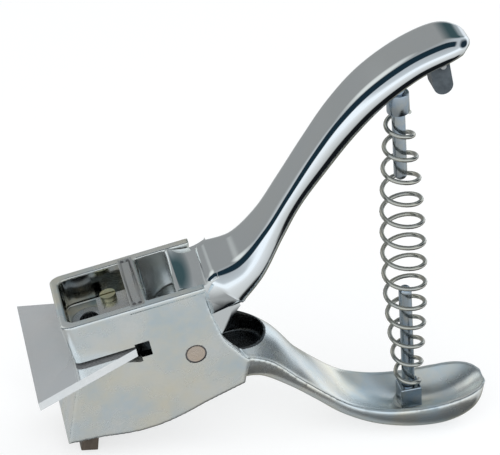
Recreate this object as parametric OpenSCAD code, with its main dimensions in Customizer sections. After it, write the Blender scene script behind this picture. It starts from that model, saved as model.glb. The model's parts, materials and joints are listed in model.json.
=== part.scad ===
// Plier-type hand punch for card and paper.
// A die-cast frame makes the head, both jaws and the lower handle. A cast lever turns on a pin
// between the cheeks of the head. Squeezing the handles lifts the lever's forked nose, which drives
// a round punch up through the card table into a die under the open-topped chip box.
// Head sizes are measured from the pivot pin's centre, with +X towards the handles, and the whole
// tool is then tipped nose-down so that it stands on its foot and on its lower handle.

/* [Stance] */
// Angle the head tips down by when the tool stands, in degrees
stance_pitch = 17.5; // [15:0.5:19]

/* [Head] */
// Width of the head across both cheeks
head_w = 26; // [24:0.5:32]
// Thickness of each cheek
cheek_t = 2.6; // [2:0.1:3.2]
// Pivot to the front face of the chip box
box_front = 33; // [32:0.5:40]
// Pivot to the back edge of the cheeks
cheek_back = 7; // [6:0.5:9]
// Height of the chip box's rim above the pivot
rim_h = 20; // [18.5:0.5:25]
// Thickness of the chip box's front wall
front_t = 2.2; // [1.6:0.1:3]
// Height of the upper jaw's underside above the pivot
jaw_h = 8.1; // [7.5:0.1:9]
// Thickness of the chip box's floor
floor_t = 2.5; // [2:0.1:3.2]
// Radius of the chip box's upright corners
corner_r = 3; // [1:0.25:4]
// Depth of the frame's lower edge below the pivot
base_d = 20; // [19:0.5:26]
// How far the foot of the front wall stands in front of the box
bow = 7.4; // [4:0.2:9]

/* [Table and throat] */
// Height of the card throat
throat_gap = 1.1; // [0.8:0.1:1.6]
// Thickness of the card table
table_t = 2.5; // [2:0.1:3.2]
// Pivot to the front edge of the card table
table_front = 44; // [38:0.2:50]
// Pivot to the back end of the throat
throat_back = 15.2; // [14.5:0.1:18]
// Width of the card table at its front edge
table_w_front = 47; // [36:0.2:56]
// Width of the card table at its back end
table_w_back = 25; // [20:0.5:25.5]
// Length of the window behind the throat
window_l = 4; // [3.2:0.1:4.6]

/* [Pivot] */
// Diameter of the pivot pin
pivot_d = 5; // [4:0.1:6.2]
// Wall of the bearing bush in the lever's hub
bush_t = 1.4; // [1:0.1:2]
// Radius of the lever's hub
hub_r = 8.4; // [8:0.1:9]

/* [Punch and die] */
// Diameter of the hole that the tool punches
punch_d = 5; // [3:0.1:6]
// Distance of the punch in front of the pivot
punch_x = 25; // [24:0.25:25.5]
// Diameter of the punch's head
punch_head_d = 8; // [7:0.1:8.4]
// Depth of the drive pin below the pivot
drive_z = 10.5; // [10.2:0.1:11]
// Diameter of the drive pin
drive_d = 3; // [2.4:0.1:3.6]
// Wall of the die bush around its hole
die_wall = 1.6; // [1.2:0.1:2]
// Lever turn from rest to fully closed, in degrees
close_deg = 12; // [8:0.5:12]

/* [Handles] */
// Width of the upper handle at its widest
upper_w = 18; // [15:0.5:21.6]
// Width of the lower handle's spoon
lower_w = 20.4; // [17:0.5:24.5]
// Wall along the rim of the spoon
spoon_rim = 1.3; // [0.8:0.1:2]

/* [Spring and studs] */
// Diameter of the spring wire
wire_d = 1.25; // [1:0.05:1.5]
// Outer diameter of the spring at its middle
coil_mid_d = 13; // [11:0.25:15]
// Outer diameter of the spring at each end
coil_end_d = 7.4; // [6.8:0.1:9]
// Number of coils
coils = 13; // [11:1:15]
// Diameter of both spring studs
stud_d = 3.7; // [3:0.1:4]
// Free length of the lower stud above its nut
stud_low_l = 34; // [28:0.5:36]
// Free length of the upper stud below its collar
stud_up_l = 21; // [16:0.5:24]
// Width across the flats of the lower stud's square nut
nut_w = 6.2; // [5.6:0.1:7]
// Height of the lower stud's square nut
nut_h = 6.6; // [5:0.2:7]
// Diameter of the upper stud's collar
collar_d = 6.2; // [5.6:0.1:7.4]

/* [Fits] */
// Radial clearance of a running fit
fit_run = 0.05; // [0.02:0.01:0.09]
// Side clearance between the lever and each cheek
side_gap = 0.5; // [0.3:0.05:0.8]

/* [Hidden] */
$fn = 48;

half_w = head_w / 2;
inner_w = head_w - 2 * cheek_t;
table_top = jaw_h - throat_gap;
table_low = table_top - table_t;
window_back = throat_back - window_l;
window_top = jaw_h + 0.7;
window_low = table_low - 0.4;
box_in_front = box_front - front_t;
box_floor = jaw_h + floor_t;
skin = 0.01;

// The bridge bar closes the chip box, and the wall under it stands behind the window.
bar_w = 4;
bar_t = 3;
bar_front = window_back + 2.2;
wall_back = window_back - 2.4;

// Frame outline, seen from the side: [x, z]
base_front = box_front + bow;
back_edge = [[cheek_back, rim_h], [cheek_back - 0.5, 15], [cheek_back + 0.2, 8],
             [cheek_back + 1.4, 2], [cheek_back + 3.4, -2], [cheek_back + 7.4, -7.2]];
base_edge = [[cheek_back + 4, -base_d + 5.6], [0, -base_d + 3.2], [-6, -base_d + 1.6],
             [-12, -base_d + 0.4], [-18, -base_d], [-24, -base_d + 0.5],
             [-base_front + 9, -base_d + 1.9], [-base_front, -base_d + 2.8]];

// Handle lines. Lower handle: [x, z, half width, depth below, dish, squareness], along its top.
lower_line = [
  [12.5, -6, half_w - 0.7, 10.6, -3.8, 3.6],
  [19.8, -11.4, half_w - 1.6, 8.4, -3.6, 3],
  [26.3, -20.8, lower_w / 2 - 0.1, 5.8, -2.2, 2.6],
  [32.5, -28.8, lower_w / 2 - 0.5, 5.4, -0.6, 2.4],
  [39, -35.8, lower_w / 2 - 0.4, 6.2, 1.2, 2.3],
  [47, -40.6, lower_w / 2 - 0.1, 8.2, 3, 2.2],
  [56, -43.4, lower_w / 2, 10.2, 4.8, 2.2],
  [65, -44.7, lower_w / 2 - 0.1, 11.2, 5.2, 2.2],
  [72.5, -45.1, lower_w / 2 - 1.3, 9.6, 3.6, 2.2],
  [76.8, -45.4, lower_w / 2 - 4, 6.2, 1.6, 2.2],
  [78.8, -45.9, lower_w / 2 - 7.2, 2.6, 0.4, 2.2]
];
// Upper handle: [x, z, half width, height above, depth below, squareness], along its middle.
upper_line = [
  [13.4, 14, half_w - 1, 7.4, 6.9, 2.8],
  [20.3, 18, inner_w / 2, 4.4, 6.1, 2.4],
  [28, 25.6, upper_w / 2 - 0.8, 2.7, 4.8, 2.4],
  [35.5, 34.1, upper_w / 2 - 1.4, 2.3, 4.5, 2.3],
  [44.9, 43.3, upper_w / 2 - 1.1, 2.9, 4.8, 2.3],
  [53.8, 51.4, upper_w / 2 - 0.5, 3.3, 5, 2.3],
  [63.3, 58.1, upper_w / 2, 3.4, 5, 2.3],
  [74.2, 62.9, upper_w / 2, 3.3, 4.7, 2.3],
  [83.9, 64.8, upper_w / 2 - 0.3, 3.2, 4.3, 2.3],
  [88.7, 64.3, upper_w / 2 - 2.4, 2.5, 3.5, 2.2],
  [90.8, 63, upper_w / 2 - 6.2, 1.2, 1.6, 2]
];
// Ring inside the hub, from which the handle's root flares out.
root_station = [9.6, 10.8, inner_w / 2 - side_gap - 0.2, 6.6, 3.2, 5];
crest = 1.13;
lower_steps = 3;
lower_sides = 8;
upper_steps = 5;
upper_sides = 12;
rim_fall = 0.3;

// Smooth curve through points, with a number of steps between each pair.
function between(a, b, c, d, t) =
  0.5 * (2 * b + (c - a) * t + (2 * a - 5 * b + 4 * c - d) * t * t + (3 * b - a - 3 * c + d) * t * t * t);
function curve(p, steps) = [
  for (i = [0:len(p) - 2])
    for (k = [0:steps - 1])
      between(p[max(i - 1, 0)], p[i], p[i + 1], p[min(i + 2, len(p) - 1)], k / steps),
  p[len(p) - 1]
];
function signed_power(v, e) = sign(v) * pow(abs(v), e);

// Cross sections, as [sideways, upwards] points.
function spoon_section(w, depth, dish, square) = concat(
  [for (k = [0:lower_sides]) let (y = (w - spoon_rim) * cos(180 * k / lower_sides))
    [y, -dish * (1 - pow(y / (w - spoon_rim), 2))]],
  [for (k = [0:lower_sides]) let (a = 180 + 180 * k / lower_sides)
    [w * signed_power(cos(a), 2 / square),
     (depth - rim_fall) * signed_power(sin(a), 2 / square) - rim_fall]]
);
function grip_section(w, up, down, square) = [
  for (k = [0:2 * upper_sides + 1]) let (a = 180 * (k + 0.5) / (upper_sides + 1))
    [w * signed_power(cos(a), 2 / square),
     sin(a) > 0 ? min(up, crest * up * pow(sin(a), 2 / square)) : -down * pow(-sin(a), 2 / square)]
];

// A ring of points round a handle's line at one station.
function heading(line, i) =
  let (d = line[min(i + 1, len(line) - 1)] - line[max(i - 1, 0)]) [d[0], d[1]] / norm([d[0], d[1]]);
function ring(line, i, section) = let (h = heading(line, i))
  [for (q = section) [line[i][0] - h[1] * q[1], q[0], line[i][1] + h[0] * q[1]]];
function lower_rings() = let (line = curve(lower_line, lower_steps))
  [for (i = [0:len(line) - 1])
    ring(line, i, spoon_section(line[i][2], line[i][3], line[i][4], line[i][5]))];
function upper_rings() = let (line = concat([root_station], curve(upper_line, upper_steps)))
  [for (i = [0:len(line) - 1])
    ring(line, i, grip_section(line[i][2], line[i][3], line[i][4], line[i][5]))];

// Where the standing tool's lowest point and its two ends lie, before it is moved to the origin.
function tipped(p) = [p[0] * cos(stance_pitch) - p[2] * sin(stance_pitch),
                      p[0] * sin(stance_pitch) + p[2] * cos(stance_pitch)];
low_points = [for (r = lower_rings()) for (p = r) tipped(p)];
floor_drop = -min([for (p = low_points) p[1]]);
back_x = max([for (p = low_points) p[0]]);
front_x = tipped([-table_front, 0, table_top])[0];
mid_x = (front_x + back_x) / 2;

// Spring line: foot of the spring on its nut, and its lean from the head's upright.
seat = [57, -41.4];
seat_lean = 7.95;
spring_l = 90.2;

// Drive slot: how far the drive pin moves along the lever's nose as the tool closes.
travel = punch_x * close_deg * PI / 180;
slot_run = punch_x * (1 - cos(close_deg)) + (drive_z - travel) * sin(close_deg);
slot_play = 0.4;
fork_r = drive_d / 2 + 2.2;
fork_w = 16;
fork_gap = punch_head_d + 1.2;
bush_r = pivot_d / 2 + bush_t;
lever_w = inner_w - 2 * side_gap;
guide_low = -1;
guide_front = punch_x + 5.4;
guide_back = punch_x - 8;
screw_x = guide_back + 2.4;
screw_y = inner_w / 4 + 1.4;
screw_d = 2.5;
screw_head_d = 1.8 * screw_d;
screw_head_h = 1.6;
tip_z = table_top - 2;

// Brow of the nose: it stays under the guide block's back edge at the end of the stroke.
brow_gap = 0.5;
brow_x = guide_back * cos(close_deg) + guide_low * sin(close_deg);
brow_z = guide_low * cos(close_deg) - guide_back * sin(close_deg) - brow_gap;

// Rest stop: a bar under the nose, whose underside falls from the hub to the fork.
stop_front = 14.6;
stop_l = 3;
stop_gap = 0.5;
nose_root = -hub_r + 0.1;
nose_fall = (nose_root + fork_r + drive_z) / (punch_x - slot_run + 1);
stop_top = nose_root - nose_fall * (stop_front + 1) - stop_gap;

// Pocket behind the hub.
pocket_x = 10.6;
pocket_z = -12.5;
pocket_r = 9.6;

// Rest foot under the nose.
foot_x = 33.2;
foot_l = 4.8;
foot_w = 16;
foot_in = 3;

bumper_x = 82.2;
bumper_z = 53.6;
bumper_r = 2.7;
bumper_t = 6;

module in_stance() {
  translate([-mid_x, 0, floor_drop]) rotate([0, -stance_pitch, 0]) children();
}
module across(w) {
  rotate([90, 0, 0]) linear_extrude(w, center = true) children();
}
module cross_hole(r, w) {
  rotate([90, 0, 0]) cylinder(r = r, h = w, center = true);
}
module slab(x0, x1, w, z0, z1) {
  translate([x0, -w / 2, z0]) cube([x1 - x0, w, z1 - z0]);
}
module on_spring_line() {
  translate([seat[0], 0, seat[1]]) rotate([0, seat_lean, 0]) children();
}
module skin_of(rings) {
  n = len(rings[0]);
  m = len(rings);
  points = [for (r = rings) for (p = r) p];
  sides = [for (i = [0:m - 2]) for (k = [0:n - 1]) let (a = i * n + k, b = i * n + (k + 1) % n)
    each [[a, a + n, b], [b, a + n, b + n]]];
  ends = [[for (k = [0:n - 1]) k], [for (k = [0:n - 1]) m * n - 1 - k]];
  polyhedron(points, concat(sides, ends));
}

module head_outline() {
  polygon(concat(
    [[-box_front, rim_h]],
    curve(back_edge, 4),
    curve(base_edge, 3),
    [[-box_front + 1.2, table_low + 1]]
  ));
}

module corner_trim(side) {
  translate([-box_front, side * half_w, jaw_h - throat_gap / 2]) difference() {
    translate([-1, side > 0 ? -corner_r : -1, 0])
      cube([corner_r + 1, corner_r + 1, rim_h - jaw_h + 2]);
    translate([corner_r, -side * corner_r, -1]) cylinder(r = corner_r, h = rim_h - jaw_h + 4);
  }
}

module head_cuts() {
  // chip box, and the bay behind it where the lever stands
  slab(-box_in_front, -window_back, inner_w, box_floor, rim_h + 1);
  slab(-wall_back, cheek_back + 12, inner_w, -3, rim_h + 1);
  // bay for the lever's nose, open underneath
  slab(-guide_front, 2, inner_w, -base_d - 1, table_low + 1);
  cross_hole(hub_r + 0.8, inner_w);
  slab(-2, 6, inner_w, -base_d - 1, -4);
  pocket();
  // throat, from the front to the window
  slab(-base_front - 5, -throat_back, head_w + 2, table_low, jaw_h);
  slab(-throat_back - skin, -window_back, head_w + 2, window_low, window_top);
  across(head_w + 2)
    polygon([[-throat_back - 5.4, table_low + skin], [-throat_back, table_low - 1.7],
             [-throat_back + 1, table_low - 1.7], [-throat_back + 1, table_low + skin]]);
  // seat of the bridge bar
  slab(-bar_front, bar_w - bar_front, head_w - cheek_t, rim_h - bar_t, rim_h + 1);
  // pivot hole with a shallow counterbore on each side
  cross_hole(pivot_d / 2, head_w + 2);
  for (side = [-1, 1])
    translate([0, side * half_w, 0]) cross_hole(pivot_d / 2 + 0.45, 0.7);
  // fine parting groove under the rim
  for (side = [-1, 1])
    translate([-14, side * half_w - 0.3, rim_h - 1.3]) cube([cheek_back + 16, 0.6, 0.35]);
  for (side = [-1, 1])
    corner_trim(side);
  // die seat
  translate([-punch_x, 0, jaw_h - 1]) cylinder(d = punch_d + 2 * die_wall, h = floor_t + 2);
  translate([-screw_x + 1, 3.4, jaw_h]) cylinder(d = screw_d, h = floor_t + 1);
}

// Pocket behind the hub, rounded towards the lower handle.
module pocket() {
  translate([pocket_x, 0, pocket_z]) cylinder(r = pocket_r, h = 16);
}

module frame_casting() {
  color("silver") in_stance() {
    difference() {
      across(head_w) head_outline();
      head_cuts();
      foot_shape();
    }
    // rest stop for the lever's nose, between the cheeks
    slab(-stop_front, stop_l - stop_front, head_w - cheek_t, -base_d + 1, stop_top);
    difference() {
      skin_of(lower_rings());
      pocket();
      on_spring_line() translate([0, 0, -nut_h]) cylinder(d = nut_w * 1.5, h = 12);
      on_spring_line() translate([0, 0, -nut_h - 4]) cylinder(d = stud_d, h = 6);
    }
  }
}

module card_table() {
  front = table_w_front / 2;
  back = table_w_back / 2;
  color("gainsboro") in_stance() difference() {
    translate([0, 0, table_low]) linear_extrude(table_t)
      polygon([[-table_front, -front], [-throat_back, -back], [-throat_back, back],
               [-table_front, front]]);
    translate([-punch_x, 0, table_low - 1]) cylinder(d = punch_d + 2 * fit_run, h = table_t + 2);
    for (side = [-1, 1])
      translate([-screw_x, side * screw_y, table_low - 1]) cylinder(d = screw_d, h = 2.4);
  }
}

module table_screws() {
  color("dimgray") in_stance() for (side = [-1, 1])
    translate([-screw_x, side * screw_y, guide_low]) difference() {
      union() {
        cylinder(d = screw_d, h = table_low + 1.4 - guide_low);
        cylinder(d = screw_head_d, h = screw_head_h);
      }
      translate([-3, -0.3, -1]) cube([6, 0.6, 1.6]);
    }
}

module guide_block() {
  color("slategray") in_stance() difference() {
    slab(-guide_front, -guide_back, inner_w, guide_low, table_low);
    translate([-punch_x, 0, guide_low - 1])
      cylinder(d = punch_d + 2 * fit_run, h = table_low - guide_low + 2);
    for (side = [-1, 1])
      translate([-screw_x, side * screw_y, guide_low - 1]) {
        cylinder(d = screw_d, h = table_low - guide_low + 2);
        cylinder(d = screw_head_d, h = screw_head_h + 1);
      }
  }
}

module die_bush() {
  color("slategray") in_stance() translate([-punch_x, 0, jaw_h]) difference() {
    union() {
      cylinder(d = punch_d + 2 * die_wall, h = floor_t);
      translate([0, 0, floor_t]) cylinder(d = punch_d + 2 * die_wall + 1.8, h = 2);
    }
    translate([0, 0, -1]) cylinder(d = punch_d + 2 * fit_run, h = floor_t + 4);
  }
}

module die_clamp() {
  heel = punch_x - (punch_d / 2 + die_wall + 0.9) - 0.3;
  color("gainsboro") in_stance() difference() {
    union() {
      slab(-heel, -window_back - 0.2, 10.4, box_floor, box_floor + 2);
      slab(-heel - 2.2, -window_back - 0.2, 10.4, box_floor + 2, box_floor + 4);
    }
    translate([-screw_x + 1, 3.4, box_floor - 1]) cylinder(d = screw_d, h = 8);
  }
}

module die_clamp_screw() {
  color("darkkhaki") in_stance() translate([-screw_x + 1, 3.4, jaw_h + 0.4]) {
    cylinder(d = screw_d, h = box_floor + 4 - jaw_h);
    translate([0, 0, box_floor + 3.6 - jaw_h]) difference() {
      cylinder(d = screw_head_d, h = screw_head_h);
      translate([-3, -0.3, 0.8]) cube([6, 0.6, 1]);
    }
  }
}

module bridge_bar() {
  color("silver") in_stance() difference() {
    slab(-bar_front, bar_w - bar_front, head_w - cheek_t, rim_h - bar_t, rim_h);
    bridge_pin_shapes(skin);
  }
}

module bridge_pin_shapes(grow) {
  for (side = [-1, 1])
    for (along = [1.2, 2.8])
      translate([along - bar_front, side * (inner_w / 2 + 0.1), rim_h - bar_t])
        cylinder(d = 1, h = bar_t + grow);
}

module bridge_pins() {
  color("dimgray") in_stance() bridge_pin_shapes(0);
}

// The foot stands upright under the nose and ends at the ground.
module foot_shape() {
  spot = tipped([-foot_x, 0, -base_d + 2.4]);
  rotate([0, stance_pitch, 0])
    translate([spot[0] - foot_l / 2, -foot_w / 2, -floor_drop])
      cube([foot_l, foot_w, spot[1] + floor_drop + foot_in]);
}

module rest_foot() {
  color("saddlebrown") in_stance() foot_shape();
}

module pivot_pin() {
  color("rosybrown") in_stance() cross_hole(pivot_d / 2, head_w);
}

module lower_stud() {
  color("lightsteelblue") in_stance() on_spring_line() {
    translate([0, 0, -nut_h - 3]) cylinder(d = stud_d, h = nut_h + 3 + stud_low_l - stud_d / 2);
    translate([0, 0, stud_low_l - stud_d / 2]) sphere(d = stud_d);
  }
}

module lower_nut() {
  color("lightsteelblue") in_stance() on_spring_line() translate([0, 0, -nut_h]) difference() {
    translate([-nut_w / 2, -nut_w / 2, 0]) cube([nut_w, nut_w, nut_h]);
    translate([0, 0, -1]) cylinder(d = stud_d, h = nut_h + 2);
  }
}

module lever_outline() {
  circle(r = hub_r, $fn = 96);
  // block above the hub, with a small bevel on its front corner
  polygon([[-0.6, 0], [-0.6, rim_h - 1.2], [0.6, rim_h + 0.2], [10, rim_h + 0.2], [13, 14],
           [15.2, 9], [11.6, 5.6], [8.2, 1.6]]);
}

module nose_outline() {
  translate([-punch_x, -drive_z]) circle(r = fork_r, $fn = 96);
  translate([slot_run - punch_x, -drive_z]) circle(r = fork_r, $fn = 96);
  polygon([[-punch_x, fork_r - drive_z], [-brow_x, brow_z], [-4, 4], [1, nose_root],
           [-punch_x + slot_run, -fork_r - drive_z], [-punch_x, -fork_r - drive_z]]);
}

module drive_slot() {
  play = drive_d / 2 + slot_play;
  translate([-punch_x, 0, -drive_z]) cross_hole(play, fork_w + 2);
  translate([slot_run - punch_x, 0, -drive_z]) cross_hole(play, fork_w + 2);
  slab(-punch_x, slot_run - punch_x, fork_w + 2, -drive_z - play, play - drive_z);
}

module lever_casting() {
  color("whitesmoke") in_stance() difference() {
    union() {
      across(lever_w) lever_outline();
      across(fork_w) nose_outline();
      skin_of(upper_rings());
    }
    cross_hole(bush_r, lever_w + 2);
    slab(-punch_x - 8, -punch_x + punch_head_d / 2 + slot_run + 1.4, fork_gap, -20, 3);
    drive_slot();
    on_spring_line() translate([0, 0, spring_l]) cylinder(d = collar_d + 0.2, h = 6);
    on_spring_line() translate([0, 0, spring_l]) cylinder(d = stud_d, h = 9);
    bumper_shape();
    translate([bumper_x, 0, 62]) cross_hole(0.8, upper_w);
  }
}

module hub_bush() {
  color("peru") in_stance() difference() {
    cross_hole(bush_r, lever_w);
    cross_hole(pivot_d / 2 + fit_run, lever_w + 2);
  }
}

module upper_stud() {
  color("lightsteelblue") in_stance() on_spring_line() {
    translate([0, 0, spring_l - stud_up_l + stud_d / 2]) sphere(d = stud_d);
    translate([0, 0, spring_l - stud_up_l + stud_d / 2])
      cylinder(d = stud_d, h = stud_up_l - stud_d / 2 + 9);
  }
}

module upper_collar() {
  color("lightsteelblue") in_stance() on_spring_line() translate([0, 0, spring_l]) difference() {
    cylinder(d = collar_d, h = 6);
    translate([0, 0, -1]) cylinder(d = stud_d, h = 8);
  }
}

// Half-round tab under the handle's end, with its stem let into the casting.
module bumper_shape() {
  translate([bumper_x, 0, bumper_z]) cross_hole(bumper_r, bumper_t);
  translate([bumper_x - bumper_r, -bumper_t / 2, bumper_z]) cube([2 * bumper_r, bumper_t, 10]);
}

module stop_bumper() {
  color("darkslategray") in_stance() difference() {
    bumper_shape();
    translate([bumper_x, 0, 62]) cross_hole(0.8, upper_w);
  }
}

module bumper_rivet() {
  color("gray") in_stance() translate([bumper_x, 0, 62]) cross_hole(0.8, upper_w - 2.4);
}

// Barrel spring: a left-handed coil of round wire, narrow at both ends.
function coil_r(t) = (coil_end_d + (coil_mid_d - coil_end_d) * pow(sin(180 * t), 0.85) - wire_d) / 2;
function coil_point(t) = let (a = -360 * coils * t, r = coil_r(t))
  [r * cos(a), r * sin(a), wire_d / 2 + 0.05 + (spring_l - wire_d - 0.1) * t];
function wire_ring(t, sides) =
  let (p = coil_point(t), d = coil_point(min(t + 0.001, 1)) - coil_point(max(t - 0.001, 0)),
       f = d / norm(d), out = [cos(-360 * coils * t), sin(-360 * coils * t), 0],
       s = cross(f, out) / norm(cross(f, out)), u = cross(s, f))
  [for (k = [0:sides - 1]) p + wire_d / 2 * (cos(360 * k / sides) * u + sin(360 * k / sides) * s)];

module return_spring() {
  turns = 16 * coils;
  color("gray") in_stance() on_spring_line()
    skin_of([for (i = [0:turns]) wire_ring(i / turns, 7)]);
}

module punch() {
  color("dimgray") in_stance() difference() {
    translate([-punch_x, 0, 0]) {
      translate([0, 0, -drive_z - 3.4]) cylinder(d = punch_head_d, h = 7.2);
      translate([0, 0, -drive_z]) cylinder(d = punch_d, h = drive_z + tip_z);
    }
    translate([-punch_x, 0, -drive_z]) cross_hole(drive_d / 2, punch_head_d + 2);
  }
}

module drive_pin() {
  color("gray") in_stance() translate([-punch_x, 0, -drive_z]) cross_hole(drive_d / 2, fork_w + 1);
}

frame_casting();
card_table();
table_screws();
guide_block();
die_bush();
die_clamp();
die_clamp_screw();
bridge_bar();
bridge_pins();
rest_foot();
pivot_pin();
lower_stud();
lower_nut();
lever_casting();
hub_bush();
upper_stud();
upper_collar();
stop_bumper();
bumper_rivet();
return_spring();
punch();
drive_pin();
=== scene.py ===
# %% [markdown]
# A one-hand craft punch stands on a table: a die-cast frame, a mirror-bright lever, and a barrel
# spring that pushes the handles apart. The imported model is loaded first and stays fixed. It says
# where each body and joint is, so everything made here is built onto it.
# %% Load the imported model
import json
import math
import bmesh
import bpy
import numpy as np
from mathutils import Matrix, Vector


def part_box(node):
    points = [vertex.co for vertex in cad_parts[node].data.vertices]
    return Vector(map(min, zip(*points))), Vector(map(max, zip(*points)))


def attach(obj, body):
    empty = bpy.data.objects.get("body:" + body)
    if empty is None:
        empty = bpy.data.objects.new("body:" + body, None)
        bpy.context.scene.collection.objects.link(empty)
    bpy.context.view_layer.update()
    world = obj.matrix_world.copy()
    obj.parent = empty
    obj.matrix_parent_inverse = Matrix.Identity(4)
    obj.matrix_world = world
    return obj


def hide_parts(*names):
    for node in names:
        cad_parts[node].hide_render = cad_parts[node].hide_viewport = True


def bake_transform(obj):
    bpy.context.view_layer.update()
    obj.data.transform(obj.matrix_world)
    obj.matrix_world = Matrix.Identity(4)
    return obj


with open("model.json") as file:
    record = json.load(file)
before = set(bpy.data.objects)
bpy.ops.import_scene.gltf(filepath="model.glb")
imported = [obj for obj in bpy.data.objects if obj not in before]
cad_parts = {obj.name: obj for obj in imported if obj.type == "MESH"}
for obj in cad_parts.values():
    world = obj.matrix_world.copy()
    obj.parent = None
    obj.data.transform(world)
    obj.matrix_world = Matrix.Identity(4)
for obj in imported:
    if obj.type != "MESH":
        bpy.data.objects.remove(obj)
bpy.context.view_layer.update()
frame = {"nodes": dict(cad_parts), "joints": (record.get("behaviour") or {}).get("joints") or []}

# %% [markdown]
# The head is drawn level, in millimetres from the pivot, with X towards the handles and Z up.
# One matrix then tips it nose-down and turns millimetres into metres. The hinge gives the pivot's
# place, and the punch's slide gives the head's own up direction.
# %% The stance
joints = {j["name"]: j for j in frame["joints"]}
pivot = Vector(joints["lever_hinge"]["pos_m"])
head_up = Vector(joints["punch_slide"]["axis"]).normalized()
head_back = Vector((head_up.z, 0, -head_up.x))
head_pitch = math.asin(-head_up.x)
STANCE = Matrix((
    (head_back.x, 0, head_up.x, pivot.x),
    (0, 1, 0, pivot.y),
    (head_back.z, 0, head_up.z, pivot.z),
    (0, 0, 0, 1),
)) @ Matrix.Diagonal((0.001, 0.001, 0.001, 1))
print("head tips by", round(math.degrees(head_pitch), 2), "degrees")

# %% [markdown]
# Most pieces start as a flat outline pushed into depth, or as a skin over a row of rings. Both are
# plain lists of points and faces, which is the quickest way to an exact shape.
# %% Mesh helpers
def new_piece(name, points, faces):
    mesh = bpy.data.meshes.new(name)
    mesh.from_pydata([tuple(p) for p in points], [], faces)
    work = bmesh.new()
    work.from_mesh(mesh)
    bmesh.ops.recalc_face_normals(work, faces=work.faces)
    work.to_mesh(mesh)
    work.free()
    piece = bpy.data.objects.new(name, mesh)
    bpy.context.scene.collection.objects.link(piece)
    return piece


def prism(name, outline, low, high, along="y"):
    """An outline in X-Z pushed along Y, or in X-Y pushed along Z."""
    n = len(outline)
    if along == "y":
        points = [(a, low, b) for a, b in outline] + [(a, high, b) for a, b in outline]
    else:
        points = [(a, b, low) for a, b in outline] + [(a, b, high) for a, b in outline]
    faces = [list(range(n)), list(range(2 * n - 1, n - 1, -1))]
    faces += [[k, (k + 1) % n, n + (k + 1) % n, n + k] for k in range(n)]
    return new_piece(name, points, faces)


def block(x0, x1, width, z0, z1):
    return prism("cutter", [(x0, z0), (x1, z0), (x1, z1), (x0, z1)], -width / 2, width / 2)


def circle(x, z, r, sides=64):
    return [(x + r * math.cos(2 * math.pi * k / sides), z + r * math.sin(2 * math.pi * k / sides))
            for k in range(sides)]


def skin_over(name, rings):
    n, m = len(rings[0]), len(rings)
    faces = [[i * n + k, i * n + (k + 1) % n, (i + 1) * n + (k + 1) % n, (i + 1) * n + k]
             for i in range(m - 1) for k in range(n)]
    faces += [list(range(n)), list(range(m * n - 1, (m - 1) * n - 1, -1))]
    return new_piece(name, [p for ring in rings for p in ring], faces)


print("a round outline has", len(circle(0, 0, 1)), "points unless it asks for more")

# %% [markdown]
# A casting is one form with holes cut in it. A boolean modifier does each cut, and the result is
# kept as a plain mesh, so no cutter is left in the scene. Edges are softened in two ways: a casting
# is re-skinned and relaxed, and a small part gets a bevel.
# %% Joining, cutting and softening
BEVEL_ANGLE = math.radians(40)


def settle(piece):
    """Keeps what the piece's modifiers show, as its own mesh."""
    shown = piece.evaluated_get(bpy.context.evaluated_depsgraph_get())
    mesh = bpy.data.meshes.new_from_object(shown)
    piece.modifiers.clear()
    old, piece.data = piece.data, mesh
    bpy.data.meshes.remove(old)


def combine(piece, others, how="DIFFERENCE"):
    for other in others:
        step = piece.modifiers.new("combine", "BOOLEAN")
        step.operation = how
        step.solver = "EXACT"
        step.object = other
        settle(piece)
        bpy.data.objects.remove(other)


def soften(piece, grain, rounds):
    """Re-skins the piece with even squares and relaxes them, which rounds each edge."""
    step = piece.modifiers.new("even skin", "REMESH")
    step.mode = "VOXEL"
    step.voxel_size = grain
    step = piece.modifiers.new("relax", "SMOOTH")
    step.factor = 0.5
    step.iterations = rounds
    settle(piece)


def round_edges(piece, width, segments):
    step = piece.modifiers.new("edges", "BEVEL")
    step.width = width
    step.segments = segments
    step.limit_method = "ANGLE"
    step.angle_limit = BEVEL_ANGLE


def shade(piece, angle):
    piece.data.shade_smooth()
    piece.data.set_sharp_from_angle(angle=math.radians(angle))


def place(piece, body, *nodes):
    """Stands the piece up with the head, gives it its body, and hides the CAD nodes that it shows."""
    piece.data.transform(STANCE)
    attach(piece, body)
    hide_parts(*nodes)
    print(piece.name, "has", len(piece.data.polygons), "faces and rides on", body)


print("edges are rounded where they turn by more than", round(math.degrees(BEVEL_ANGLE)), "degrees")

# %% [markdown]
# Both handles follow a drawn line. At each station the line says where it is and how wide,
# how deep and how square the handle is there. A smooth curve through the stations gives as many
# rings as the surface needs: many, because a bright finish shows every flat.
# %% Smooth lines through stations
def curve(stations, steps):
    p = [np.array(s, float) for s in stations]
    line = []
    for i in range(len(p) - 1):
        a, b, c, d = p[max(i - 1, 0)], p[i], p[i + 1], p[min(i + 2, len(p) - 1)]
        for t in np.arange(steps) / steps:
            line.append(0.5 * (2 * b + (c - a) * t + (2 * a - 5 * b + 4 * c - d) * t * t
                               + (3 * b - a - 3 * c + d) * t ** 3))
    return line + [p[-1]]


def signed_power(v, e):
    return math.copysign(abs(v) ** e, v)


def rings_along(line, section):
    """Stands one section square to the line at each of its points."""
    rings = []
    for i, station in enumerate(line):
        run = line[min(i + 1, len(line) - 1)][:2] - line[max(i - 1, 0)][:2]
        ahead, rise = run / np.linalg.norm(run)
        rings.append([(station[0] - rise * up, side, station[1] + ahead * up)
                      for side, up in section(*station[2:])])
    return rings


print("three stations in ten steps each give", len(curve([(0, 0), (1, 1), (2, 0)], 10)), "points")

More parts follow.
